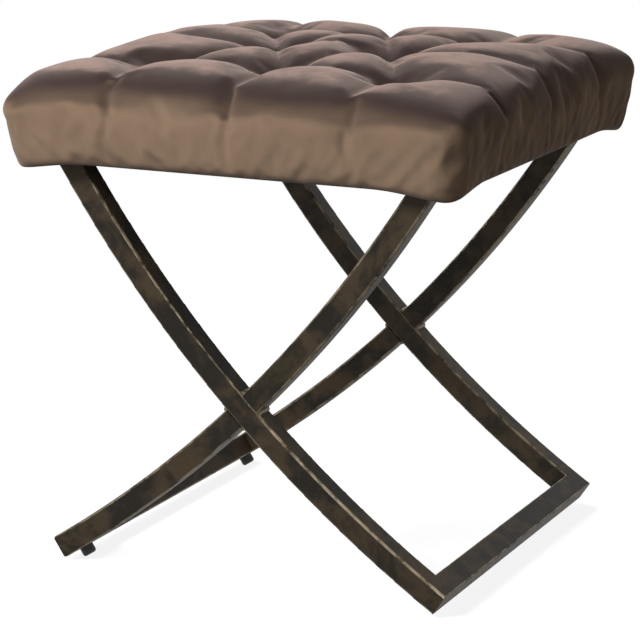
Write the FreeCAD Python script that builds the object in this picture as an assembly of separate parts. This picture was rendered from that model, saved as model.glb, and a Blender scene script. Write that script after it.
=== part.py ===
import FreeCAD, Part
import math
import os

# X frame stool: two X frames of bent square steel tube carry a tufted velvet seat.
# The front is at -Y, +X is to the right of somebody who looks at the front, +Z is up.
# The origin lies on the floor, under the middle of the seat. All sizes are in millimetres.

Vector = FreeCAD.Vector

# Steel tube of the frame
tube_side = 25.0
tube_wall = 1.5
tube_corner = 2.5
frame_depth = 430.0
bend_radius = 1370.0
crossing_height = 188.5
foot_half_span = 217.8
foot_end_height = 14.2
leg_top = 430.0
weld_radius = 3.2
least_corner = 0.2
sweep_allowance = 2.0

# Flat steel strips that carry the seat
strip_width = 32.0
strip_thickness = 4.0
strip_corner = 4.0
strip_margin = 3.0

# Rubber glides under the foot rails
glide_radius = 7.5
glide_flat_depth = 0.6
glide_edge = 3.0
glide_inset = 27.0
glide_recess_radius = 4.0
glide_recess_depth = 5.6
glide_screw_radius = 1.9
glide_screw_length = 10.0
glide_screw_head_radius = 3.1
glide_screw_head_height = 2.2
glide_washer_radius = 3.7
glide_washer_thickness = 0.8
glide_screw_clearance = 0.15

# Screws, washers and tee nuts that hold the seat board to the strips
seat_screw_radius = 3.0
seat_screw_spacing = 150.0
seat_screw_head_radius = 5.5
seat_screw_head_height = 3.6
seat_screw_head_round = 1.8
seat_screw_socket_radius = 2.3
seat_screw_socket_depth = 2.2
seat_screw_short = 1.0
seat_screw_hole_clearance = 0.3
seat_washer_radius = 7.5
seat_washer_thickness = 1.4
tee_nut_flange_radius = 9.5
tee_nut_flange_thickness = 1.2
tee_nut_barrel_radius = 4.0
tee_nut_barrel_length = 9.0
thread_clearance = 0.1

# Upholstered seat
seat_overhang = 47.0
side_height = 70.0
bottom_tuck = 10.0
rim_tuck = 5.0
edge_round = 16.0
crown_rise = 32.0
velvet_thickness = 1.2
wrap_thickness = 6.0
layer_clearance = 0.3
least_bow = 0.05
board_thickness = 15.0
board_margin = 6.0
board_corner = 14.0
hem_width = 22.0
dust_cover_thickness = 0.8
dust_cover_lap = 14.0

# Tufts: three in the front row, two in the middle row, three in the rear row
tuft_pitch_x = 130.0
tuft_pitch_y = 130.0
tuft_depth = 29.0
tuft_reach = 29.0
pleat_depth = 7.0
pleat_reach = 12.0
button_radius = 10.0
button_height = 6.0
button_edge = 2.0
button_clearance = 0.8
cord_radius = 0.9
cord_hole_clearance = 0.4
anchor_radius = 6.0
anchor_thickness = 2.2
anchor_clearance = 0.3
knot_height = 1.0

# Staples
staple_crown = 10.0
staple_wire = 1.0
staple_leg = 6.0
staple_pitch = 46.0
staple_stagger = 0.3
cover_staple_share = 0.7
dust_staple_share = 0.55

# Sections of the seat: how far apart they lie, and the turns of the rounded end
section_pitch = 32.5
trim_allowance = 2.0
end_turns = (90.0, 60.0, 30.0)

# Overhang of a cutting tool past what it cuts, and the size of a block that cuts all away
tool_margin = 1.0
away = 2000.0

# Sizes that follow from the ones above
half_tube = tube_side / 2
half_frame = frame_depth / 2
tube_centre_y = half_frame - half_tube
strip_top = leg_top + strip_thickness
board_bottom = strip_top + dust_cover_thickness
board_top = board_bottom + board_thickness
hem_bottom = board_bottom - velvet_thickness
rim_height = hem_bottom + side_height
lap_bottom = hem_bottom - dust_cover_thickness
wrap_outside = velvet_thickness + layer_clearance
button_well = button_radius + button_clearance
cord_hole = cord_radius + cord_hole_clearance

across = Vector(1, 0, 0)
along = Vector(0, 1, 0)
up = Vector(0, 0, 1)
origin = Vector(0, 0, 0)


def bend_centre():
    """Centre of the arc that a long leg follows, through the crossing and the foot."""
    crossing = Vector(0, 0, crossing_height)
    foot = Vector(foot_half_span, 0, foot_end_height)
    middle = (crossing + foot) / 2
    chord = foot - crossing
    square = Vector(-chord.z, 0, chord.x) / chord.Length
    return middle + square * math.sqrt(bend_radius ** 2 - (chord.Length / 2) ** 2)


centre = bend_centre()
foot_angle = math.atan2(foot_end_height - centre.z, foot_half_span - centre.x)
rail_angle = foot_angle - half_tube / bend_radius
top_angle = -math.pi - math.asin((leg_top + tube_side - centre.z) / bend_radius)

# The seat strips lie over the tops of the legs, and the seat is as large as they need
strip_offset = math.sqrt(bend_radius ** 2 - (centre.z - leg_top) ** 2) - centre.x
window_width = 2 * strip_offset + strip_width + 2 * strip_margin
board_width = window_width + 2 * hem_width
seat_width = board_width + 2 * (board_margin + bottom_tuck)
seat_depth = frame_depth + 2 * seat_overhang
board_depth = seat_depth - 2 * edge_round
window_depth = board_depth - 2 * hem_width


def arc_direction(angle):
    """Unit vector from the centre of the bend, in the plane of the frame."""
    return Vector(math.cos(angle), 0, math.sin(angle))


def arc_tangent(angle):
    """Unit vector along the leg, towards its foot."""
    return Vector(-math.sin(angle), 0, math.cos(angle))


underside = arc_direction(rail_angle)
rail_run = arc_tangent(rail_angle)
rail_centre = centre + underside * bend_radius


def glide_length():
    """Height of a glide along its slanted axis, so that its sole is cut by the floor."""
    seat_height = (rail_centre + underside * half_tube).z
    sole = seat_height - glide_edge + rail_run.z * (glide_radius - glide_edge) + glide_flat_depth
    return sole / -underside.z + glide_edge


glide_height = glide_length()


def half_space(point, normal):
    """A large block whose one face passes through the point, on the side of the normal."""
    block = Part.makeBox(away, away, away, Vector(-away / 2, -away / 2, 0))
    block.Placement = FreeCAD.Placement(point, FreeCAD.Rotation(up, normal))
    return block


def flip_side(shape):
    return shape.mirror(origin, across)


def flip_end(shape):
    return shape.mirror(origin, along)


def rounded_square(middle, first, second, side, corner):
    """Face of a rounded square in the plane of two unit vectors."""
    flat = side / 2 - corner
    half = side / 2
    bulge = flat + corner * math.sqrt(0.5)
    edges = []
    for turn in range(4):
        a = first if turn % 2 == 0 else second
        b = second if turn % 2 == 0 else first
        if turn >= 2:
            a = a * -1
        if turn in (1, 2):
            b = b * -1
        start = middle + a * half - b * flat
        end = middle + a * half + b * flat
        edges.append(Part.LineSegment(start, end).toShape())
        if corner > 0:
            mid = middle + (a + b) * bulge
            last = middle + a * flat + b * half
            edges.append(Part.Arc(end, mid, last).toShape())
    return Part.Face(Part.Wire(edges))


def tube_section(middle, first, second, wall):
    """Outer face of the tube, or with a wall the face of its bore."""
    corner = max(tube_corner - wall, least_corner)
    return rounded_square(middle, first, second, tube_side - 2 * wall, corner)


def bent_tube():
    """Whole front long leg before its ends are cut."""
    middle = centre + arc_direction(top_angle) * bend_radius
    middle.y = -tube_centre_y
    sweep = math.degrees(foot_angle - top_angle) + sweep_allowance
    pivot = Vector(centre.x, -tube_centre_y, centre.z)
    skins = []
    for wall in (0, tube_wall):
        face = tube_section(middle, arc_direction(top_angle), along, wall)
        skins.append(face.revolve(pivot, along * -1, sweep))
    return skins[0].cut(skins[1])


def mitre(side):
    """Plane of the corner joint between the front leg and the foot rail."""
    point = Vector(rail_centre.x, -tube_centre_y, rail_centre.z)
    normal = (rail_run + along).normalize() * side
    return half_space(point, normal)


def long_leg():
    leg = bent_tube().cut(mitre(1))
    return leg.cut(half_space(Vector(0, 0, leg_top), up))


def long_leg_envelope(length):
    """Block with the outline of the long leg, which the short legs are coped against."""
    middle = centre + arc_direction(top_angle) * bend_radius
    middle.y = -tube_centre_y
    first = arc_direction(top_angle)
    corners = []
    for a, b in ((1, 1), (1, -1), (-1, -1), (-1, 1)):
        corners.append(middle + first * (a * half_tube) + along * (b * length))
    corners.append(corners[0])
    face = Part.Face(Part.makePolygon(corners))
    pivot = Vector(centre.x, -tube_centre_y, centre.z)
    sweep = math.degrees(foot_angle - top_angle) + sweep_allowance
    return face.revolve(pivot, along * -1, sweep)


def short_legs():
    """The two halves of the crossing bar, lower half first."""
    halves = flip_side(long_leg()).cut(long_leg_envelope(tube_side))
    return sorted(halves.Solids, key=lambda half: half.CenterOfMass.z)


def foot_rail():
    """Right foot rail, mitred at both ends and drilled for its two glides."""
    skins = []
    for wall in (0, tube_wall):
        middle = Vector(rail_centre.x, -half_frame, rail_centre.z)
        face = tube_section(middle, rail_run, underside, wall)
        skins.append(face.extrude(along * frame_depth))
    rail = skins[0].cut(skins[1])
    rail = rail.cut(mitre(-1)).cut(flip_end(mitre(-1)))
    for end in (-1, 1):
        hole = glide_screw_radius + glide_screw_clearance
        start = glide_seat(end) - underside * (tube_wall * 2)
        rail = rail.cut(Part.makeCylinder(hole, tube_wall * 4, start, underside))
    return rail


def crossing_welds():
    """Beads in the four notches of the front crossing, a little shorter than the tube."""
    inner = bend_radius - half_tube
    outer = bend_radius + half_tube
    top = centre.z - math.sqrt(inner ** 2 - centre.x ** 2)
    bottom = centre.z - math.sqrt(outer ** 2 - centre.x ** 2)
    side_x = (outer ** 2 - inner ** 2) / (4 * centre.x)
    side_z = centre.z - math.sqrt(outer ** 2 - (centre.x + side_x) ** 2)
    length = tube_side - 2 * tube_corner
    envelope = long_leg_envelope(tube_side)
    beads = []
    for x, z in ((0, top), (0, bottom), (-side_x, side_z), (side_x, side_z)):
        start = Vector(x, -tube_centre_y - length / 2, z)
        bead = Part.makeCylinder(weld_radius, length, start, along)
        bead = bead.cut(envelope).cut(flip_side(envelope))
        beads.extend(bead.Solids)
    return beads


def screw_places():
    places = []
    for side in (-1, 1):
        for step in (-1, 0, 1):
            places.append((side * strip_offset, step * seat_screw_spacing))
    return places


def plate(width, depth, bottom, thickness, corner):
    """Flat plate with rounded corners, centred on the stool."""
    block = Part.makeBox(width, depth, thickness, Vector(-width / 2, -depth / 2, bottom))
    if corner <= 0:
        return block
    upright = [edge for edge in block.Edges if abs(edge.tangentAt(edge.FirstParameter).z) > 0.9]
    return block.makeFillet(corner, upright)


def seat_strip():
    """Right seat strip, with its screw holes."""
    strip = plate(strip_width, frame_depth, leg_top, strip_thickness, strip_corner)
    strip.translate(Vector(strip_offset, 0, 0))
    hole = seat_screw_radius + seat_screw_hole_clearance
    for x, y in screw_places():
        start = Vector(x, y, leg_top - strip_thickness)
        strip = strip.cut(Part.makeCylinder(hole, strip_thickness * 3, start))
    return strip


def glide_seat(end):
    """Point on the underside of the right foot rail where a glide sits."""
    point = rail_centre + underside * half_tube
    point.y = end * (half_frame - glide_inset)
    return point


def glide_parts(end):
    """Glide, washer and screw at one end of the right foot rail."""
    seat = glide_seat(end)
    hole = glide_screw_radius + glide_screw_clearance
    body = Part.makeCylinder(glide_radius, glide_height, seat, underside)
    rim = []
    for edge in body.Edges:
        if edge.Closed and (edge.CenterOfMass - seat).Length > glide_height / 2:
            rim.append(edge)
    body = body.makeFillet(glide_edge, rim)
    mouth = seat + underside * (glide_height - glide_recess_depth)
    body = body.cut(Part.makeCylinder(glide_recess_radius, glide_height, mouth, underside))
    body = body.cut(Part.makeCylinder(hole, glide_height, seat, underside))
    body = body.cut(half_space(origin, up * -1))
    washer = Part.makeCylinder(glide_washer_radius, glide_washer_thickness, mouth, underside)
    washer = washer.cut(Part.makeCylinder(hole, glide_washer_thickness, mouth, underside))
    head_seat = mouth + underside * glide_washer_thickness
    head = Part.makeCylinder(glide_screw_head_radius, glide_screw_head_height, head_seat, underside)
    shank = Part.makeCylinder(glide_screw_radius, glide_screw_length, head_seat, underside * -1)
    return body, washer, head.fuse(shank).removeSplitter()


def tuft_places():
    places = []
    for row in (-1, 1):
        for column in (-1, 0, 1):
            places.append((column * tuft_pitch_x, row * tuft_pitch_y))
    for column in (-0.5, 0.5):
        places.append((column * tuft_pitch_x, 0.0))
    return places


def crown_top(x, y):
    """Height of the velvet over a point, with its crown, tufts and edge pleats."""
    off_x = min(abs(x) / (seat_width / 2 - rim_tuck), 1)
    off_y = min(abs(y) / (seat_depth / 2 - edge_round / 2), 1)
    height = rim_height + crown_rise * (1 - off_x ** 4) * (1 - off_y ** 4)
    for tuft_x, tuft_y in tuft_places():
        distance = math.hypot(x - tuft_x, y - tuft_y)
        height -= tuft_depth * math.exp(-(distance / tuft_reach) ** 2)
    if abs(y) > tuft_pitch_y:
        for column in (-1, 0, 1):
            sideways = (x - column * tuft_pitch_x) / pleat_reach
            height -= pleat_depth * math.exp(-sideways ** 2)
    return height


def bowed(start, end, middle):
    """Arc through three points of a section, never quite straight."""
    flat = (start.z + end.z) / 2
    if abs(middle.z - flat) < least_bow:
        middle.z = flat + least_bow
    return Part.Arc(start, middle, end).toShape()


def seat_section(y, narrowing, inset):
    """Closed outline of the seat in an upright plane across the stool."""
    half = seat_width / 2 - narrowing - inset
    foot = half - bottom_tuck
    bottom = hem_bottom + narrowing / 2 + inset - trim_allowance
    rim = rim_height - narrowing - inset
    swell = (bottom + rim) / 2
    steps = int(round(2 * tuft_pitch_x / section_pitch))
    stations = [(step - steps / 2) * section_pitch for step in range(steps + 1)]
    shoulder = (stations[-1] + half - rim_tuck) / 2
    top = [Vector(rim_tuck - half, y, rim)]
    for x in [-shoulder] + stations + [shoulder]:
        top.append(Vector(x, y, crown_top(x, y) - narrowing - inset))
    top.append(Vector(half - rim_tuck, y, rim))
    edges = [Part.LineSegment(Vector(foot, y, bottom), Vector(-foot, y, bottom)).toShape()]
    edges.append(Part.Arc(Vector(-foot, y, bottom), Vector(-half, y, swell), top[0]).toShape())
    for start, end in zip(top, top[1:]):
        x = (start.x + end.x) / 2
        middle = Vector(x, y, crown_top(x, y) - narrowing - inset)
        edges.append(bowed(start, end, middle))
    edges.append(Part.Arc(top[-1], Vector(half, y, swell), Vector(foot, y, bottom)).toShape())
    return Part.Wire(edges)


def seat_body(inset):
    """Solid of the seat, a given depth below its outer face, with a well for each button."""
    reach = seat_depth / 2 - inset
    ends = []
    for turn in end_turns:
        angle = math.radians(turn)
        ends.append((reach - edge_round * (1 - math.sin(angle)), edge_round * (1 - math.cos(angle))))
    inner_reach = reach - edge_round
    count = int(math.ceil(inner_reach / section_pitch))
    inner = [(step * inner_reach / count, 0.0) for step in range(-count, count + 1)]
    stations = [(-y, narrowing) for y, narrowing in ends] + inner + ends[::-1]
    sections = [seat_section(y, narrowing, inset) for y, narrowing in stations]
    tools = [half_space(Vector(0, 0, hem_bottom + inset), up * -1)]
    for x, y in tuft_places():
        floor = Vector(x, y, crown_top(x, y) - inset)
        tools.append(Part.makeCylinder(button_well + inset, side_height, floor))
    return Part.makeLoft(sections, True, False).cut(Part.makeCompound(tools))


def cord_holes(start, end):
    """Rods that clear the tufting cords between two heights."""
    holes = []
    for x, y in tuft_places():
        holes.append(Part.makeCylinder(cord_hole, end - start, Vector(x, y, start)))
    return Part.makeCompound(holes)


def velvet_cover():
    """Velvet pulled over the seat and turned in under the board."""
    cover = seat_body(0).cut(seat_body(velvet_thickness))
    bottom = hem_bottom - tool_margin
    window = plate(window_width, window_depth, bottom, velvet_thickness + 2 * tool_margin, 0)
    tools = [window, cord_holes(board_top, board_top + away)]
    tools.extend(cover_staples() + dust_cover_staples())
    return cover.cut(Part.makeCompound(tools))


def fibre_wrap():
    """Polyester wrap between the velvet and the foam, open under the seat."""
    wrap = seat_body(wrap_outside).cut(seat_body(wrap_outside + wrap_thickness))
    gap = layer_clearance
    column = plate(board_width + 2 * gap, board_depth + 2 * gap, 0, board_top, board_corner + gap)
    return wrap.cut(column).cut(cord_holes(board_top, board_top + away))


def foam_pad():
    pad = seat_body(wrap_outside + wrap_thickness + layer_clearance)
    pad = pad.cut(half_space(Vector(0, 0, board_top), up * -1))
    return pad.cut(cord_holes(board_top, board_top + away))


def seat_board():
    """Plywood board, bored for the cords, their anchors and the tee nuts."""
    board = plate(board_width, board_depth, board_bottom, board_thickness, board_corner)
    below = board_bottom - tool_margin
    above = board_top + tool_margin
    tools = [cord_holes(below, above)]
    for x, y in tuft_places():
        radius = anchor_radius + anchor_clearance
        depth = anchor_thickness + knot_height + tool_margin
        tools.append(Part.makeCylinder(radius, depth, Vector(x, y, below)))
    for x, y in screw_places():
        radius = tee_nut_barrel_radius + thread_clearance
        tools.append(Part.makeCylinder(radius, above - below, Vector(x, y, below)))
        radius = tee_nut_flange_radius + thread_clearance
        recess = board_top - tee_nut_flange_thickness
        tools.append(Part.makeCylinder(radius, above - recess, Vector(x, y, recess)))
    tools.extend(cover_staples() + dust_cover_staples())
    return board.cut(Part.makeCompound(tools))


def tee_nuts():
    nuts = []
    for x, y in screw_places():
        flange_seat = Vector(x, y, board_top - tee_nut_flange_thickness)
        nut = Part.makeCylinder(tee_nut_flange_radius, tee_nut_flange_thickness, flange_seat)
        length = tee_nut_barrel_length
        barrel = Part.makeCylinder(tee_nut_barrel_radius, length, Vector(x, y, board_top - length))
        thread = seat_screw_radius + thread_clearance
        bore = Part.makeCylinder(thread, board_thickness, Vector(x, y, board_bottom))
        nuts.append(nut.fuse(barrel).cut(bore).removeSplitter())
    return nuts


def seat_screws():
    """Button head screws that come up through the strips."""
    screws = []
    head_top = leg_top - seat_washer_thickness
    head_middle = head_top - seat_screw_head_height / 2
    length = board_top - seat_screw_short - head_top
    for x, y in screw_places():
        head_bottom = Vector(x, y, head_top - seat_screw_head_height)
        head = Part.makeCylinder(seat_screw_head_radius, seat_screw_head_height, head_bottom)
        rim = [edge for edge in head.Edges if edge.Closed and edge.CenterOfMass.z < head_middle]
        head = head.makeFillet(seat_screw_head_round, rim)
        shank = Part.makeCylinder(seat_screw_radius, length, Vector(x, y, head_top))
        socket = Part.makePolygon(hexagon(x, y, head_bottom.z, seat_screw_socket_radius))
        socket = Part.Face(socket).extrude(up * seat_screw_socket_depth)
        screws.append(head.fuse(shank).removeSplitter().cut(socket))
    return screws


def hexagon(x, y, z, radius):
    points = []
    for corner in range(7):
        angle = math.radians(60 * corner)
        points.append(Vector(x + radius * math.cos(angle), y + radius * math.sin(angle), z))
    return points


def seat_washers():
    washers = []
    for x, y in screw_places():
        seat = Vector(x, y, leg_top - seat_washer_thickness)
        washer = Part.makeCylinder(seat_washer_radius, seat_washer_thickness, seat)
        hole = seat_screw_radius + seat_screw_hole_clearance
        washers.append(washer.cut(Part.makeCylinder(hole, seat_washer_thickness, seat)))
    return washers


def tuft_buttons():
    """Covered buttons, domed on top and flat below."""
    buttons = []
    dome = button_height - button_edge
    curve = (button_radius ** 2 + dome ** 2) / (2 * dome)
    turn = math.asin(button_radius / curve) / 2
    for x, y in tuft_places():
        floor = crown_top(x, y)
        top = Vector(x, y, floor + button_height)
        edge = Vector(x + button_radius, y, floor + button_edge)
        bulge = top + Vector(curve * math.sin(turn), 0, curve * (math.cos(turn) - 1))
        outline = [Part.LineSegment(top, Vector(x, y, floor)).toShape()]
        outline.append(Part.LineSegment(Vector(x, y, floor), Vector(edge.x, y, floor)).toShape())
        outline.append(Part.LineSegment(Vector(edge.x, y, floor), edge).toShape())
        outline.append(Part.Arc(edge, bulge, top).toShape())
        face = Part.Face(Part.Wire(outline))
        buttons.append(face.revolve(Vector(x, y, 0), up, 360))
    return buttons


def tufting_cords():
    """Cords from the buttons down to a knot under each anchor."""
    cords = []
    for x, y in tuft_places():
        knot = Part.makeCylinder(2 * cord_radius, knot_height, Vector(x, y, board_bottom))
        length = crown_top(x, y) - board_bottom
        cord = Part.makeCylinder(cord_radius, length, Vector(x, y, board_bottom))
        cords.append(cord.fuse(knot).removeSplitter())
    return cords


def cord_anchors():
    anchors = []
    for x, y in tuft_places():
        seat = Vector(x, y, board_bottom + knot_height)
        anchor = Part.makeCylinder(anchor_radius, anchor_thickness, seat)
        anchors.append(anchor.cut(Part.makeCylinder(cord_hole, anchor_thickness, seat)))
    return anchors


def dust_cover():
    """Black cloth under the seat, lapped over the velvet hem."""
    skin = dust_cover_thickness
    wide = window_width - 2 * layer_clearance
    deep = window_depth - 2 * layer_clearance
    field = plate(wide, deep, strip_top, skin, 0)
    step = plate(wide, deep, lap_bottom, board_bottom - lap_bottom, 0)
    step = step.cut(plate(wide - 2 * skin, deep - 2 * skin, lap_bottom, away, 0))
    lap_width = window_width + 2 * dust_cover_lap
    lap = plate(lap_width, window_depth + 2 * dust_cover_lap, lap_bottom, skin, 0)
    lap = lap.cut(plate(wide - 2 * skin, deep - 2 * skin, lap_bottom, skin, 0))
    cover = field.fuse(step).fuse(lap).removeSplitter()
    cover = cover.cut(Part.makeCompound(dust_cover_staples()))
    tools = []
    for x, y in screw_places():
        radius = seat_screw_radius + seat_screw_hole_clearance
        tools.append(Part.makeCylinder(radius, away, Vector(x, y, leg_top)))
    return cover.cut(Part.makeCompound(tools))


def one_staple():
    """Staple with its crown along X, its legs upwards and its origin under the middle."""
    outer = Part.makeBox(staple_crown, staple_wire, staple_leg)
    inner = Part.makeBox(staple_crown - 2 * staple_wire, staple_wire, staple_leg)
    inner.translate(Vector(staple_wire, 0, staple_wire))
    staple = outer.cut(inner)
    staple.translate(Vector(-staple_crown / 2, -staple_wire / 2, 0))
    return staple


def staple_row(ring_width, ring_depth, bottom, shift):
    """Staples all round a rectangle, their crowns along its sides."""
    staples = []
    for length, offset, turn in ((ring_width, ring_depth, 0), (ring_depth, ring_width, 90)):
        count = int(length // staple_pitch)
        for number in range(count):
            place = (number - (count - 1) / 2 + shift) * staple_pitch
            for side in (-1, 1):
                staple = one_staple()
                staple.translate(Vector(place, side * offset / 2, 0))
                if turn:
                    staple.rotate(origin, up, turn)
                staple.translate(Vector(0, 0, bottom))
                staples.append(staple)
    return staples


def cover_staples():
    """Staples of the velvet, under the lap of the dust cover."""
    inward = hem_width * cover_staple_share
    return staple_row(board_width - 2 * inward, board_depth - 2 * inward, hem_bottom, 0)


def dust_cover_staples():
    """Staples of the dust cover, through its lap and the hem."""
    inward = hem_width * dust_staple_share
    bottom = lap_bottom - staple_wire
    return staple_row(board_width - 2 * inward, board_depth - 2 * inward, bottom, staple_stagger)


def frame_parts():
    """Every welded piece of the frame by name."""
    front_lower, front_upper = short_legs()
    long_front = long_leg()
    right_rail = foot_rail()
    right_strip = seat_strip()
    beads = crossing_welds()
    return {
        "front_long_leg": long_front,
        "rear_long_leg": flip_end(long_front),
        "front_lower_leg": front_lower,
        "front_upper_leg": front_upper,
        "rear_lower_leg": flip_end(front_lower),
        "rear_upper_leg": flip_end(front_upper),
        "right_foot_rail": right_rail,
        "left_foot_rail": flip_side(right_rail),
        "right_seat_strip": right_strip,
        "left_seat_strip": flip_side(right_strip),
        "crossing_welds": Part.makeCompound(beads + [flip_end(bead) for bead in beads]),
    }


def glide_nodes():
    """Four glides, each its own node, and their washers and screws as two groups."""
    nodes = {}
    washers = []
    screws = []
    for end, end_name in ((-1, "front"), (1, "rear")):
        body, washer, screw = glide_parts(end)
        nodes[end_name + "_right_glide"] = body
        nodes[end_name + "_left_glide"] = flip_side(body)
        washers.extend([washer, flip_side(washer)])
        screws.extend([screw, flip_side(screw)])
    nodes["glide_washers"] = Part.makeCompound(washers)
    nodes["glide_screws"] = Part.makeCompound(screws)
    return nodes


def seat_parts():
    """Every piece of the upholstered seat by name."""
    return {
        "seat_screws": Part.makeCompound(seat_screws()),
        "seat_washers": Part.makeCompound(seat_washers()),
        "tee_nuts": Part.makeCompound(tee_nuts()),
        "seat_board": seat_board(),
        "foam_pad": foam_pad(),
        "fibre_wrap": fibre_wrap(),
        "velvet_cover": velvet_cover(),
        "tuft_buttons": Part.makeCompound(tuft_buttons()),
        "tufting_cords": Part.makeCompound(tufting_cords()),
        "cord_anchors": Part.makeCompound(cord_anchors()),
        "dust_cover": dust_cover(),
        "cover_staples": Part.makeCompound(cover_staples()),
        "dust_cover_staples": Part.makeCompound(dust_cover_staples()),
    }


os.makedirs("parts", exist_ok=True)
for group in (frame_parts(), glide_nodes(), seat_parts()):
    for name, shape in group.items():
        shape.exportStep("parts/" + name + ".step")
        print(name, len(shape.Solids), "solids, valid:", shape.isValid(), "volume", round(shape.Volume, 1))
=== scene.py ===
import math

import bmesh
import bpy
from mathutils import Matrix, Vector


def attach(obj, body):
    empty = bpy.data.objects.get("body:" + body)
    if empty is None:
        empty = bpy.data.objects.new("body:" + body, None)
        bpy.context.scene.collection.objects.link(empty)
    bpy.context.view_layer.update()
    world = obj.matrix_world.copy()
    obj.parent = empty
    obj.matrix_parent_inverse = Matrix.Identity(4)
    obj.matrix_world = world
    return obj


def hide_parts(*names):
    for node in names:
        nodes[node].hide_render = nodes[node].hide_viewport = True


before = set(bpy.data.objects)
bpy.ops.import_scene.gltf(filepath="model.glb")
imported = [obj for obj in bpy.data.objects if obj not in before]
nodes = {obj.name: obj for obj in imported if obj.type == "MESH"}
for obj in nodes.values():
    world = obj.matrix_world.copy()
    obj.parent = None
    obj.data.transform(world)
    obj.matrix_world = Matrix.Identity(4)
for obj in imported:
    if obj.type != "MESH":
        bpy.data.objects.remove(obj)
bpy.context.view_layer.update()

scene = bpy.context.scene
print("frame loaded:", len(nodes), "nodes")


class Sock:  # a node's output that can be added, subtracted and multiplied
    def __init__(self, tree, link):
        self.tree = tree
        self.link = link

    def math(self, operation, first, second):
        return self.tree.node("ShaderNodeMath", {"operation": operation}, {0: first, 1: second})

    def __add__(self, other):
        return self.math("ADD", self, other)

    def __radd__(self, other):
        return self.math("ADD", other, self)

    def __sub__(self, other):
        return self.math("SUBTRACT", self, other)

    def __rsub__(self, other):
        return self.math("SUBTRACT", other, self)

    def __mul__(self, other):
        return self.math("MULTIPLY", self, other)

    def __rmul__(self, other):
        return self.math("MULTIPLY", other, self)

    def size(self):
        return self.math("ABSOLUTE", self, 0.0)

    def most(self, other):
        return self.math("MAXIMUM", self, other)

    def step(self, low, high):  # smooth 0 to 1 between two values
        values = {"Value": self, "From Min": low, "From Max": high}
        return self.tree.node("ShaderNodeMapRange", {"interpolation_type": "SMOOTHSTEP"}, values)


class Finish:  # a material, or the world, and its node tree
    def __init__(self, name, kind=bpy.data.materials):
        self.material = kind.new(name)
        self.material.use_nodes = True
        self.tree = self.material.node_tree
        self.tree.nodes.clear()

    def node(self, kind, settings, values, output=0):
        made = self.tree.nodes.new(kind)
        for key, value in settings.items():
            setattr(made, key, value)
        for key, value in values.items():
            if isinstance(value, Sock):
                self.tree.links.new(value.link, made.inputs[key])
            else:
                made.inputs[key].default_value = value
        return Sock(self, made.outputs[output])

    def coords(self):
        return self.node("ShaderNodeTexCoord", {}, {}, "Object")

    def normal(self):
        return self.node("ShaderNodeNewGeometry", {}, {}, "Normal")

    def vector(self, operation, values, output):
        return self.node("ShaderNodeVectorMath", {"operation": operation}, values, output)

    def dot(self, vector, direction):
        return self.vector("DOT_PRODUCT", {0: vector, 1: direction}, "Value")

    def stretched(self, vector, scale):
        return self.vector("MULTIPLY", {0: vector, 1: scale}, "Vector")

    def noise(self, vector, scale, detail=3.0, roughness=0.55, distortion=0.0):
        values = {"Vector": vector, "Scale": scale, "Detail": detail}
        values.update({"Roughness": roughness, "Distortion": distortion})
        return self.node("ShaderNodeTexNoise", {}, values)

    def bands(self, vector, direction, scale, distortion):
        settings = {"wave_type": "BANDS", "bands_direction": direction}
        values = {"Vector": vector, "Scale": scale, "Distortion": distortion}
        return self.node("ShaderNodeTexWave", settings, values)

    def mix(self, factor, first, second):  # 6, 7 and output 2 are the sockets for colours
        return self.node("ShaderNodeMix", {"data_type": "RGBA"}, {0: factor, 6: first, 7: second}, 2)

    def bump(self, height, strength, distance):
        values = {"Height": height, "Strength": strength, "Distance": distance}
        return self.node("ShaderNodeBump", {}, values)

    def seen(self):  # 1 for what the camera, a mirror or glass sees, 0 for light on the stool
        kinds = ("Camera", "Glossy", "Transmission")
        rays = [self.node("ShaderNodeLightPath", {}, {}, "Is %s Ray" % kind) for kind in kinds]
        return rays[0].most(rays[1]).most(rays[2])

    def show(self, shader, kind="Material"):
        out = self.tree.nodes.new("ShaderNodeOutput" + kind)
        self.tree.links.new(shader.link, out.inputs["Surface"])
        return self.material

    def shade(self, values):
        return self.show(self.node("ShaderNodeBsdfPrincipled", {}, values))


def rgb(red, green, blue):  # screen values from 0 to 255 as a linear colour
    shares = [value / 255 for value in (red, green, blue)]
    linear = [((s + 0.055) / 1.055) ** 2.4 if s > 0.04045 else s / 12.92 for s in shares]
    return (*linear, 1.0)


def paint(name, material):
    node = nodes[name]
    node.data.materials.clear()
    node.data.materials.append(material)


def turned(place, aim):  # the turn that points a camera or a lamp from one place at another
    return (Vector(aim) - Vector(place)).to_track_quat("-Z", "Y").to_euler()


camera = {
    "place": (1.14959, -2.47381, 0.88355), "target": (-0.013344, 0.0, 0.236457),
    "lens": 146.25, "sensor": 36.0, "farClip": 60.0,
}
view = bpy.data.cameras.new("photoCamera")
view.lens = camera["lens"]
view.sensor_width = camera["sensor"]
view.clip_end = camera["farClip"]
eye = bpy.data.objects.new("photoCamera", view)
eye.location = camera["place"]
eye.rotation_euler = turned(camera["place"], camera["target"])
scene.collection.objects.link(eye)
scene.camera = eye

lamps = {
    # name: place, aim, width, height, watts
    "keyLight": ((-0.65, -1.75, 1.5), (0.05, -0.1, 0.3), 0.6, 0.45, 38.0),
    "topLight": ((-1.3, 1.3, 1.8), (0.0, 0.0, 0.45), 1.0, 1.0, 36.0),
    "fillLight": ((2.1, -0.9, 0.75), (0.0, 0.0, 0.3), 1.2, 0.9, 3.0),
}
for name, (place, aim, wide, high, watts) in lamps.items():
    lamp = bpy.data.lights.new(name, "AREA")
    lamp.shape = "RECTANGLE"
    lamp.size = wide
    lamp.size_y = high
    lamp.energy = watts
    lit = bpy.data.objects.new(name, lamp)
    lit.location = place
    lit.rotation_euler = turned(place, aim)
    scene.collection.objects.link(lit)

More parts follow.
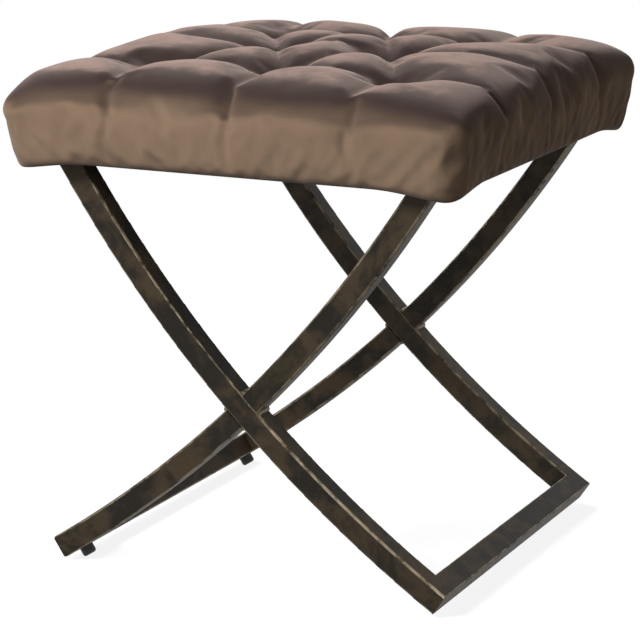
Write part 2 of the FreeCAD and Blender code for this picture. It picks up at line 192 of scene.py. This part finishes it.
floorLook = {"reach": 9.0, "grey": 0.3, "lift": 0.87, "fadeStart": 0.45, "fadeEnd": 1.1}
white = (1, 1, 1, 1)
black = (0, 0, 0, 1)


def floorFinish():
    # a grey floor that takes the stool's shadow, lifted to pale, which turns plain white further out
    look = Finish("paleFloor")
    far = look.vector("LENGTH", {0: look.coords()}, "Value")
    fade = far.step(floorLook["fadeStart"], floorLook["fadeEnd"])
    seen = look.seen()
    grey = floorLook["grey"]
    plain = look.node("ShaderNodeBsdfDiffuse", {}, {"Color": (grey, grey, grey, 1.0)})
    bare = look.node("ShaderNodeEmission", {}, {"Color": white, "Strength": 1.0})
    lift = look.node("ShaderNodeEmission", {}, {"Color": white, "Strength": floorLook["lift"]})
    none = look.node("ShaderNodeEmission", {}, {"Color": black, "Strength": 0.0})
    glow = look.node("ShaderNodeMixShader", {}, {0: seen, 1: none, 2: lift})
    near = look.node("ShaderNodeAddShader", {}, {0: plain, 1: glow})
    return look.show(look.node("ShaderNodeMixShader", {}, {0: fade * seen, 1: near, 2: bare}))


plane = bmesh.new()
bmesh.ops.create_grid(plane, x_segments=2, y_segments=2, size=floorLook["reach"])
floorMesh = bpy.data.meshes.new("floor")
plane.to_mesh(floorMesh)
plane.free()
floorMesh.materials.append(floorFinish())
floor = bpy.data.objects.new("floor", floorMesh)
scene.collection.objects.link(floor)

sky = {"ambient": 0.08, "colour": (1.0, 0.98, 0.96, 1.0), "background": 1.0}
air = Finish("studio", bpy.data.worlds)
ambient = air.node("ShaderNodeBackground", {}, {"Color": sky["colour"], "Strength": sky["ambient"]})
bright = air.node("ShaderNodeBackground", {}, {"Color": white, "Strength": sky["background"]})
air.show(air.node("ShaderNodeMixShader", {}, {0: air.seen(), 1: ambient, 2: bright}), "World")
scene.world = air.material
scene.view_settings.view_transform = "Standard"
print("camera, lamps and floor made")


bronze = {
    "dark": rgb(32, 28, 22), "brown": rgb(66, 55, 41), "olive": rgb(54, 52, 40), "worn": rgb(154, 140, 116),
    "blotch": 22.0, "grain": 260.0, "rub": 55.0, "edgeShare": 0.8,
    "metallic": 0.3, "specular": 0.2, "roughness": 0.56, "relief": 0.35, "reliefDepth": 0.0006,
    "railTurn": 33.0,  # degrees, the slope of the foot rails' section
}


def bronzeFinish(name, axis):
    # axis is square to two of the tube's four sides, so the rounded corners are where the normal lies between
    look = Finish(name)
    place = look.coords()
    lean = look.dot(look.normal(), axis)
    lean = lean * lean
    corner = lean * (1.0 - lean) * 4.0
    blotch = look.noise(place, bronze["blotch"], 5.0, 0.6, 0.4)
    fleck = look.noise(place, bronze["grain"], 3.0, 0.7)
    rub = look.noise(place, bronze["rub"], 4.0, 0.65)
    base = look.mix(blotch.step(0.42, 0.62), bronze["dark"], bronze["brown"])
    base = look.mix(fleck.step(0.56, 0.7) * 0.55, base, bronze["olive"])
    wear = corner.step(0.3, 0.95) * rub.step(0.34, 0.6) * bronze["edgeShare"]
    base = look.mix(wear, base, bronze["worn"])
    rough = bronze["roughness"] - wear * 0.12 + (fleck - 0.5) * 0.22 + (blotch - 0.5) * 0.12
    relief = look.bump(fleck * 0.5 + blotch, bronze["relief"], bronze["reliefDepth"])
    values = {"Base Color": base, "Roughness": rough, "Normal": relief}
    values.update({"Metallic": bronze["metallic"], "Specular IOR Level": bronze["specular"]})
    return look.shade(values)


railTurn = math.radians(bronze["railTurn"])
tubes = {
    # finish: an axis square to two sides of the tube, the nodes that take it
    "legBronze": ((0.0, 1.0, 0.0), [name for name in nodes if name.endswith("_leg")]),
    "railBronze": ((math.cos(railTurn), 0.0, -math.sin(railTurn)), ["right_foot_rail"]),
    "leftRailBronze": ((math.cos(railTurn), 0.0, math.sin(railTurn)), ["left_foot_rail"]),
    "stripBronze": ((0.0, 0.0, 1.0), ["right_seat_strip", "left_seat_strip"]),
}
for finish, (axis, members) in tubes.items():
    tubeBronze = bronzeFinish(finish, axis)
    for name in members:
        paint(name, tubeBronze)

weld = {"dark": rgb(70, 60, 50), "light": rgb(132, 118, 98), "cloud": 90.0, "ripple": 120.0,
        "metallic": 0.75, "roughness": 0.42}


def weldFinish():
    look = Finish("weldBronze")
    place = look.coords()
    ripple = look.bands(place, "Y", weld["ripple"], 2.0)
    base = look.mix(look.noise(place, weld["cloud"]), weld["dark"], weld["light"])
    relief = look.bump(ripple, 0.5, 0.0006)
    values = {"Base Color": base, "Metallic": weld["metallic"], "Roughness": weld["roughness"]}
    return look.shade({**values, "Normal": relief})


rubber = {"dark": rgb(18, 18, 18), "dusty": rgb(44, 42, 40), "dust": 180.0, "grain": 900.0, "roughness": 0.62}


def rubberFinish():
    look = Finish("blackRubber")
    place = look.coords()
    dust = look.noise(place, rubber["dust"], 4.0, 0.6)
    base = look.mix(dust.step(0.45, 0.75), rubber["dark"], rubber["dusty"])
    relief = look.bump(look.noise(place, rubber["grain"], 2.0), 0.3, 0.0003)
    rough = rubber["roughness"] + (dust - 0.5) * 0.2
    return look.shade({"Base Color": base, "Roughness": rough, "Normal": relief})


zinc = {"dark": rgb(150, 150, 146), "light": rgb(196, 195, 188), "cloud": 130.0, "grain": 1200.0, "roughness": 0.3}


def zincFinish():
    look = Finish("zincSteel")
    place = look.coords()
    cloud = look.noise(place, zinc["cloud"], 3.0)
    base = look.mix(cloud, zinc["dark"], zinc["light"])
    relief = look.bump(look.noise(place, zinc["grain"], 2.0), 0.2, 0.0002)
    rough = zinc["roughness"] + cloud * 0.16
    return look.shade({"Base Color": base, "Metallic": 1.0, "Roughness": rough, "Normal": relief})


ply = {
    "face": rgb(206, 176, 132), "faceGrain": rgb(164, 128, 86),
    "edge": rgb(196, 164, 118), "edgeGrain": rgb(128, 96, 62),
    "stretch": (14.0, 260.0, 90.0), "plies": 95.0, "roughness": 0.68,
}


def plyFinish():
    look = Finish("birchPly")
    place = look.coords()
    grain = look.noise(look.stretched(place, ply["stretch"]), 1.0, 4.0, 0.6, 0.6)
    plies = look.bands(place, "Z", ply["plies"], 0.3)
    face = look.mix(grain.step(0.35, 0.7), ply["face"], ply["faceGrain"])
    edge = look.mix(plies, ply["edge"], ply["edgeGrain"])
    flat = look.dot(look.normal(), (0.0, 0.0, 1.0)).size().step(0.4, 0.8)
    base = look.mix(flat, edge, face)
    relief = look.bump(grain, 0.3, 0.0004)
    return look.shade({"Base Color": base, "Roughness": ply["roughness"], "Normal": relief})


dustCloth = {"dark": rgb(20, 20, 21), "light": rgb(54, 53, 54), "fibre": 900.0, "cloud": 40.0, "roughness": 0.92}


def clothFinish():
    look = Finish("dustCloth")
    place = look.coords()
    fibre = look.noise(place, dustCloth["fibre"], 4.0, 0.7)
    cloud = look.noise(place, dustCloth["cloud"], 3.0)
    base = look.mix(fibre * 0.6 + cloud * 0.4, dustCloth["dark"], dustCloth["light"])
    relief = look.bump(fibre, 0.5, 0.0006)
    return look.shade({"Base Color": base, "Roughness": dustCloth["roughness"], "Normal": relief})


cord = {"dark": rgb(150, 138, 116), "light": rgb(196, 186, 164), "twist": 700.0, "roughness": 0.6}


def cordFinish():
    look = Finish("waxedCord")
    twist = look.bands(look.coords(), "DIAGONAL", cord["twist"], 0.4)
    base = look.mix(twist, cord["dark"], cord["light"])
    relief = look.bump(twist, 0.5, 0.0003)
    return look.shade({"Base Color": base, "Roughness": cord["roughness"], "Normal": relief})


anchor = {"dark": rgb(206, 206, 200), "light": rgb(228, 227, 221), "cloud": 240.0, "grain": 1400.0, "roughness": 0.48}


def plasticFinish():
    look = Finish("anchorPlastic")
    place = look.coords()
    cloud = look.noise(place, anchor["cloud"], 3.0)
    base = look.mix(cloud, anchor["dark"], anchor["light"])
    relief = look.bump(look.noise(place, anchor["grain"], 2.0), 0.15, 0.0002)
    rough = anchor["roughness"] + cloud * 0.1
    return look.shade({"Base Color": base, "Roughness": rough, "Normal": relief})


paint("crossing_welds", weldFinish())
blackRubber = rubberFinish()
for name in nodes:
    if name.endswith("_glide"):
        paint(name, blackRubber)
zincSteel = zincFinish()
for name in ("glide_washers", "glide_screws", "seat_screws", "seat_washers", "tee_nuts"):
    paint(name, zincSteel)
for name in ("cover_staples", "dust_cover_staples"):
    paint(name, zincSteel)
paint("seat_board", plyFinish())
paint("dust_cover", clothFinish())
paint("tufting_cords", cordFinish())
paint("cord_anchors", plasticFinish())
print("frame finishes made")


velvet = {
    "face": rgb(141, 118, 97), "shade": rgb(98, 80, 65), "warm": rgb(150, 124, 103),
    # the left and right faces' tones, the top's dark and olive tones and the fold colour are painted shade; the top's
    # pinkish tone is a painted sheen
    "flankPaintedShade": rgb(122, 98, 73), "flankShade": rgb(88, 70, 52),
    "paintedTopShade": rgb(63, 50, 47), "paintedSheen": rgb(160, 130, 119), "olive": rgb(88, 74, 61), "fold": rgb(44, 34, 30),
    "crush": 16.0, "brush": 46.0, "pile": 1500.0, "relief": 0.4, "reliefDepth": 0.001,
    "roughness": 0.88, "specular": 0.12, "sheen": 0.35, "sheenRoughness": 0.45, "sheenTint": (1.0, 0.8, 0.72, 1.0),
}


def velvetFinish():
    look = Finish("taupeVelvet")
    place = look.coords()
    crush = look.noise(place, velvet["crush"], 4.0, 0.55, 0.8)
    brushed = look.noise(look.stretched(place, (1.0, 1.0, 0.45)), velvet["brush"], 4.0, 0.6)
    pile = look.noise(place, velvet["pile"], 2.0, 0.6)
    rear = look.dot(look.normal(), (0.0, 1.0, 0.0))
    right = look.dot(look.normal(), (1.0, 0.0, 0.0))
    up = look.dot(look.normal(), (0.0, 0.0, 1.0))
    down = look.dot(look.normal(), (0.0, 0.0, -1.0))
    # upright faces are taupe at the front and rear; the left and right faces are browner and darker, a painted shade
    side = look.mix(brushed.step(0.3, 0.7) * 0.4, velvet["face"], velvet["warm"])
    side = look.mix(crush.step(0.42, 0.7) * 0.22, side, velvet["shade"])
    flankPaintedShade = look.mix(crush.step(0.35, 0.65), velvet["flankShade"], velvet["flankPaintedShade"])
    side = look.mix(rear.size().step(0.05, 0.85), flankPaintedShade, side)
    # painted light and shade on the top: dark where it slopes to the front or the right (painted shade), pinkish on
    # the crests (painted sheen), olive behind them (painted shade)
    slope = rear - (crush - 0.5) * 0.7 - (brushed - 0.5) * 0.35
    lean = right + (brushed - 0.5) * 0.3
    lit = slope.step(-0.4, 0.02) * (1.0 - lean.step(-0.06, 0.26) * 0.9)
    topPaintedLight = look.mix(lit * 0.92, velvet["paintedTopShade"], velvet["paintedSheen"])
    topPaintedLight = look.mix(slope.step(0.12, 0.4), topPaintedLight, velvet["olive"])
    base = look.mix(up.step(0.02, 0.8), side, topPaintedLight)
    # painted shade: dark in the folds, round the tufts and under the seat
    fold = look.node("ShaderNodeAttribute", {"attribute_name": "fold"}, {}, "Fac")
    base = look.mix((fold * 0.8).most(down.step(0.15, 0.8) * 0.75), base, velvet["fold"])
    relief = look.bump(pile * 0.35 + brushed * 0.3, velvet["relief"], velvet["reliefDepth"])
    rough = velvet["roughness"] + (crush - 0.5) * 0.1
    values = {"Base Color": base, "Roughness": rough, "Normal": relief}
    values.update({"Specular IOR Level": velvet["specular"], "Sheen Weight": velvet["sheen"]})
    values.update({"Sheen Roughness": velvet["sheenRoughness"], "Sheen Tint": velvet["sheenTint"]})
    return look.shade(values)


velvetLook = velvetFinish()

seat = {
    # the block, its rounded edges and its upright corners, in metres
    "halfWidth": 0.2530, "halfDepth": 0.2620, "bottom": 0.4333, "side": 0.070, "cell": 0.006,
    "roundSide": 0.010, "roundTop": 0.010, "roundBottom": 0.008, "corner": 0.029,
    # how far the sides are drawn in at the bottom and at the rim, and up to what share of the side
    "tuckX": 0.009, "tuckY": 0.010, "tuckTop": 0.8, "tuckPower": 1.4, "rimTuck": 0.002, "rimShare": 0.2,
    # the crown: a steep rise at the rim, then a slow swell, both starting a little inside the rim
    "plump": 0.020, "plumpPower": 16.0, "swell": 0.012, "swellPower": 2.2, "insetX": 0.003, "insetY": 0.004,
    # tufts and folds
    "tuftGap": 0.130, "wellDepth": 0.022, "wellReach": 0.026, "wellPower": 1.5,
    "foldDepth": 0.008, "foldReach": 0.015, "foldPower": 1.3, "rowFold": 0.75, "edgeFold": 0.85,
    "bend": 0.004, "bendTurns": 37.0, "bendStart": 5.0,
    # pleats in the sides
    "pleatDepth": 0.0035, "pleatReach": 0.005, "pleatBack": 0.02, "pleatPlain": 0.35, "pleatMost": 1.5,
    "pleatFoot": 0.45, "sway": 0.003, "swayTurns": 9.0, "swayStart": 40.0,
    # the bottom hangs at the corners, and the left corners of the top droop, from one radius to another
    "hang": 0.0095, "hangFrom": 0.29, "hangTo": 0.352, "drop": 0.009, "dropFrom": 0.31,
    # the shares of the side's height over which each of these comes in
    "crownBand": (0.6, 0.98), "dropBand": (0.3, 1.0), "hangBand": (0.0, 0.9), "pleatBand": (0.02, 0.15),
    # under the board the cover is lifted inside this half width and half depth
    "windowX": 0.2135, "windowY": 0.2235, "lift": 0.004, "liftSlack": 0.002,
    # the painted shade of the folds and of the wells
    "creaseReach": 0.006, "creaseShare": 0.6, "wellShade": 0.017, "creaseBand": (0.055, 0.075),
    # a button's dome, and the funnel of velvet in which it lies
    "domeReach": 0.02, "buttonReach": 0.030, "buttonSeat": 0.009, "buttonShow": 0.001, "buttonSlope": 1.1,
}
gap = seat["tuftGap"]
tufts = [(x, y) for y in (-gap, gap) for x in (-gap, 0.0, gap)] + [(-gap / 2, 0.0), (gap / 2, 0.0)]
# folds from point to point, each with a share of the full depth at its start and its end
folds = []
for end in (-1, 1):
    for x in (-gap, 0.0, gap):
        for mid in (-gap / 2, gap / 2):
            if abs(x - mid) < gap:
                folds.append(((x, end * gap), (mid, 0.0), 1.0, 1.0))
    for x in (-gap, 0.0):
        folds.append(((x, end * gap), (x + gap, end * gap), seat["rowFold"], seat["rowFold"]))
# pleats that run from the outer tufts over the edge: side, tuft, place along the edge, depth share there
pleats = [
    ("front", (-gap, -gap), -0.127, 0.35),
    ("front", (0.0, -gap), 0.006, 0.35),
    ("front", (gap, -gap), 0.136, 0.35),
    ("rear", (-gap, gap), -0.150, 0.2),
    ("rear", (0.0, gap), -0.036, 2.6),
    ("rear", (gap, gap), 0.112, 0.2),
    ("left", (-gap, -gap), -0.116, 1.1),
    ("left", (-gap / 2, 0.0), 0.010, 0.15),
    ("left", (-gap, gap), 0.150, 0.2),
    ("right", (gap, -gap), -0.140, 0.3),
    ("right", (gap / 2, 0.0), -0.006, 0.15),
    ("right", (gap, gap), 0.140, 0.3),
]
signs = {"front": -1, "rear": 1, "left": -1, "right": 1}
for edge, tuft, place, share in pleats:
    if edge in ("front", "rear"):
        end = (place, signs[edge] * seat["halfDepth"])
    else:
        end = (signs[edge] * seat["halfWidth"], place)
    folds.append((tuft, end, seat["edgeFold"], share))


def smooth(low, high, value):  # smooth 0 to 1 between two values
    t = max(0.0, min(1.0, (value - low) / (high - low)))
    return t * t * (3 - 2 * t)


def nearTuft(x, y):
    return min(math.hypot(x - a, y - b) for a, b in tufts)


def alongFold(x, y, fold):
    # distance to a fold, which bends a little to one side, and the depth share at the nearest point
    (ax, ay), (bx, by), first, last = fold
    dx, dy = bx - ax, by - ay
    run = max(0.0, min(1.0, ((x - ax) * dx + (y - ay) * dy) / (dx * dx + dy * dy)))
    bend = seat["bend"] * math.sin(run * math.pi)
    bend *= math.sin(seat["bendTurns"] * (ax + by) + seat["bendStart"])
    away = math.hypot(x - ax - dx * run, y - ay - dy * run + bend)
    return away, first + (last - first) * run


def crownAt(x, y):
    # the rise of the crown over the rim, less the wells of the tufts and the folds between them
    offX = min(abs(x) / (seat["halfWidth"] - seat["insetX"]), 1.0)
    offY = min(abs(y) / (seat["halfDepth"] - seat["insetY"]), 1.0)
    rise = 0.0
    for height, power in ((seat["plump"], seat["plumpPower"]), (seat["swell"], seat["swellPower"])):
        rise += height * (1 - offX ** power) * (1 - offY ** power)
    rise -= seat["wellDepth"] * math.exp(-(nearTuft(x, y) / seat["wellReach"]) ** seat["wellPower"])
    dip = 0.0
    for fold in folds:
        away, share = alongFold(x, y, fold)
        dip = max(dip, share * math.exp(-(away / seat["foldReach"]) ** seat["foldPower"]))
    return rise - seat["foldDepth"] * dip


def pleatAt(x, y, t):
    # how far the cover is drawn in at the pleats, t is the share of the side's height
    drawn = Vector((0.0, 0.0, 0.0))
    for edge, tuft, place, share in pleats:
        sign = signs[edge]
        out, run = (y, x) if edge in ("front", "rear") else (x, y)
        limit = seat["halfDepth"] if edge in ("front", "rear") else seat["halfWidth"]
        if out * sign < limit - seat["pleatBack"]:
            continue
        swayed = place + seat["sway"] * math.sin(seat["swayTurns"] * t + seat["swayStart"] * place)
        depth = seat["pleatDepth"] * min(seat["pleatMost"], share / seat["pleatPlain"])
        depth *= seat["pleatFoot"] + (1 - seat["pleatFoot"]) * t
        depth *= math.exp(-abs(run - swayed) / seat["pleatReach"])
        if edge in ("front", "rear"):
            drawn.y -= sign * depth
        else:
            drawn.x -= sign * depth
    return drawn


def roundedEdges(x, y, up):
    # up is the height over the middle of the block
    wide, deep, side = seat["halfWidth"], seat["halfDepth"], seat["side"]
    roundUp = seat["roundTop"] if up > 0 else seat["roundBottom"]
    inner = (wide - seat["roundSide"], deep - seat["roundSide"], side / 2 - roundUp)
    turn = (seat["roundSide"], seat["roundSide"], roundUp)
    held = [max(-a, min(a, v)) for a, v in zip(inner, (x, y, up))]
    past = Vector([(v - h) / t for v, h, t in zip((x, y, up), held, turn)])
    if past.length > 0:
        past.normalize()
    return [h + p * t for h, p, t in zip(held, past, turn)]


def roundedCorners(x, y):
    corner = seat["corner"]
    spanX, spanY = seat["halfWidth"] - corner, seat["halfDepth"] - corner
    u, v = max(0.0, abs(x) - spanX) / corner, max(0.0, abs(y) - spanY) / corner
    if u > 0 and v > 0:
        x = math.copysign(spanX + corner * u * math.sqrt(1 - v * v / 2), x)
        y = math.copysign(spanY + corner * v * math.sqrt(1 - u * u / 2), y)
    return x, y


def seatPoint(co):
    # co is a point of a plain block: half width and half depth as the seat's, height from 0 to side
    side = seat["side"]
    x, y, up = roundedEdges(co.x, co.y, co.z - side / 2)
    t = (up + side / 2) / side
    x, y = roundedCorners(x, y)
    low = max(0.0, 1 - t / seat["tuckTop"]) ** seat["tuckPower"]
    high = max(0.0, (t - seat["tuckTop"]) / seat["rimShare"]) ** 2
    x *= 1 - (seat["tuckX"] * low + seat["rimTuck"] * high) / seat["halfWidth"]
    y *= 1 - (seat["tuckY"] * low + seat["rimTuck"] * high) / seat["halfDepth"]
    height = seat["bottom"] + t * side + crownAt(x, y) * smooth(*seat["crownBand"], t)
    out = math.hypot(x, y)
    if x < 0:
        droop = smooth(seat["dropFrom"], seat["hangTo"], out) * smooth(*seat["dropBand"], t)
        height -= seat["drop"] * droop
    hang = smooth(seat["hangFrom"], seat["hangTo"], out) * (1 - smooth(*seat["hangBand"], t))
    height -= seat["hang"] * hang
    return Vector((x, y, height)) + pleatAt(x, y, t) * smooth(*seat["pleatBand"], t)


def seatBlock(name):
    # a block cut into even cells on every face, then moved point by point into the seat's shape
    block = bmesh.new()
    bmesh.ops.create_cube(block, size=1.0)
    size = (2 * seat["halfWidth"], 2 * seat["halfDepth"], seat["side"])
    bmesh.ops.scale(block, vec=size, verts=block.verts)
    bmesh.ops.translate(block, vec=(0, 0, seat["side"] / 2), verts=block.verts)
    for axis in range(3):
        whole = size[axis] * 0.9  # an edge longer than this runs the block's full length
        along = [e for e in block.edges if abs((e.verts[0].co - e.verts[1].co)[axis]) > whole]
        cuts = max(2, round(size[axis] / seat["cell"])) - 1
        bmesh.ops.subdivide_edges(block, edges=along, cuts=cuts, use_grid_fill=True)
    for vert in block.verts:
        vert.co = seatPoint(vert.co)
    mesh = bpy.data.meshes.new(name)
    bmesh.ops.recalc_face_normals(block, faces=block.faces)
    block.to_mesh(mesh)
    block.free()
    return mesh


cushionMesh = seatBlock("tuftedCushion")
cushion = bpy.data.objects.new("tuftedCushion", cushionMesh)
scene.collection.objects.link(cushion)
cushionMesh.materials.append(velvetLook)
for face in cushionMesh.polygons:
    face.use_smooth = True
for vert in cushionMesh.vertices:
    x, y, z = vert.co
    inside = abs(x) < seat["windowX"] and abs(y) < seat["windowY"]
    if inside and z < seat["bottom"] + seat["liftSlack"]:
        vert.co.z += seat["lift"]

# painted shade: the fold attribute darkens the velvet along the folds and round the tufts on the top
creaseShadeLayer = cushionMesh.attributes.new("fold", "FLOAT", "POINT")
for vert, creaseShadeValue in zip(cushionMesh.vertices, creaseShadeLayer.data):
    x, y, z = vert.co
    deep = 0.0
    for fold in folds:
        away, share = alongFold(x, y, fold)
        deep = max(deep, share * math.exp(-away / seat["creaseReach"]))
    well = math.exp(-(nearTuft(x, y) / seat["wellShade"]) ** 2)
    raised = smooth(*[seat["bottom"] + height for height in seat["creaseBand"]], z)
    creaseShadeValue.value = min(1.0, max(seat["creaseShare"] * deep, well)) * raised
print("cushion block shaped:", len(cushionMesh.vertices), "points")

puff = {
    "frames": 20, "quality": 6, "mass": 0.25, "damping": 1.0, "stretch": 15.0, "shear": 5.0, "bending": 0.3,
    "shrink": -0.035, "pressure": 3.0, "cap": 0.012,
    # how firmly the cloth is held at the sides and the folds, and the distances over which that fades
    "sideHold": 0.25, "sideFrom": 0.035, "foldHold": 0.4, "foldFade": (0.006, 0.001),
    "tuftFade": (0.012, 0.007), "boardSlack": 0.004,
}


def holdShare(x, y, z):
    # 1 under the board and at the tufts, less up the sides and along the folds, 0 where it is free
    up = z - seat["bottom"]
    if up < puff["boardSlack"]:
        return 1.0
    if up < seat["side"]:
        return puff["sideHold"] * (1 - smooth(puff["sideFrom"], seat["side"], up))
    share = smooth(*puff["tuftFade"], nearTuft(x, y))
    if share == 0.0:
        for fold in folds:
            away, part = alongFold(x, y, fold)
            share = max(share, puff["foldHold"] * min(part, 1.0) * smooth(*puff["foldFade"], away))
    return share


def settle(piece):
    # the cloth is blown up a little from inside, held at the tufts, along the folds and under the board
    held = piece.vertex_groups.new(name="held")
    for vert in piece.data.vertices:
        share = holdShare(*vert.co)
        if share > 0:
            held.add([vert.index], share, "REPLACE")
    cloth = piece.modifiers.new("puff", "CLOTH")
    rules = cloth.settings
    rules.quality = puff["quality"]
    rules.mass = puff["mass"]
    rules.air_damping = puff["damping"]
    rules.tension_stiffness = puff["stretch"]
    rules.compression_stiffness = puff["stretch"]
    rules.shear_stiffness = puff["shear"]
    rules.bending_stiffness = puff["bending"]
    rules.shrink_min = puff["shrink"]
    rules.use_pressure = True
    rules.uniform_pressure_force = puff["pressure"]
    rules.effector_weights.gravity = 0.0
    rules.vertex_group_mass = "held"
    rules.pin_stiffness = 1.0
    cloth.collision_settings.use_collision = False
    cloth.collision_settings.use_self_collision = False
    cloth.point_cache.frame_start = 1
    cloth.point_cache.frame_end = puff["frames"]
    for number in range(1, puff["frames"] + 1):
        scene.frame_set(number)
    blown = piece.evaluated_get(bpy.context.evaluated_depsgraph_get())
    moved = [vert.co.copy() for vert in blown.to_mesh().vertices]
    blown.to_mesh_clear()
    piece.modifiers.remove(cloth)
    piece.vertex_groups.clear()
    farthest = 0.0
    for vert, co in zip(piece.data.vertices, moved):
        step = co - vert.co
        farthest = max(farthest, step.length)
        if step.length > puff["cap"]:
            step *= puff["cap"] / step.length
        vert.co += step
    scene.frame_set(1)
    print("cushion settled, farthest point moved", round(farthest * 1000, 1), "mm before the cap")


def seatButtons(piece):
    # the cover is drawn down round each button, so that the button's dome shows
    domes = nodes["tuft_buttons"].data.vertices
    for a, b in tufts:
        foot = min(v.co.z for v in domes if math.hypot(v.co.x - a, v.co.y - b) < seat["domeReach"])
        for vert in piece.data.vertices:
            away = math.hypot(vert.co.x - a, vert.co.y - b)
            if away < seat["buttonReach"] and vert.co.z > seat["bottom"] + seat["side"] / 2:
                rise = max(0.0, away - seat["buttonSeat"]) * seat["buttonSlope"]
                vert.co.z = min(vert.co.z, foot + seat["buttonShow"] + rise)
    print("cover drawn down round", len(tufts), "buttons")


settle(cushion)
seatButtons(cushion)
finer = cushion.modifiers.new("finer", "SUBSURF")
finer.levels = 1
finer.render_levels = 1
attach(cushion, "root")
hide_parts("velvet_cover", "fibre_wrap", "foam_pad")
paint("tuft_buttons", velvetLook)
print("cushion made")
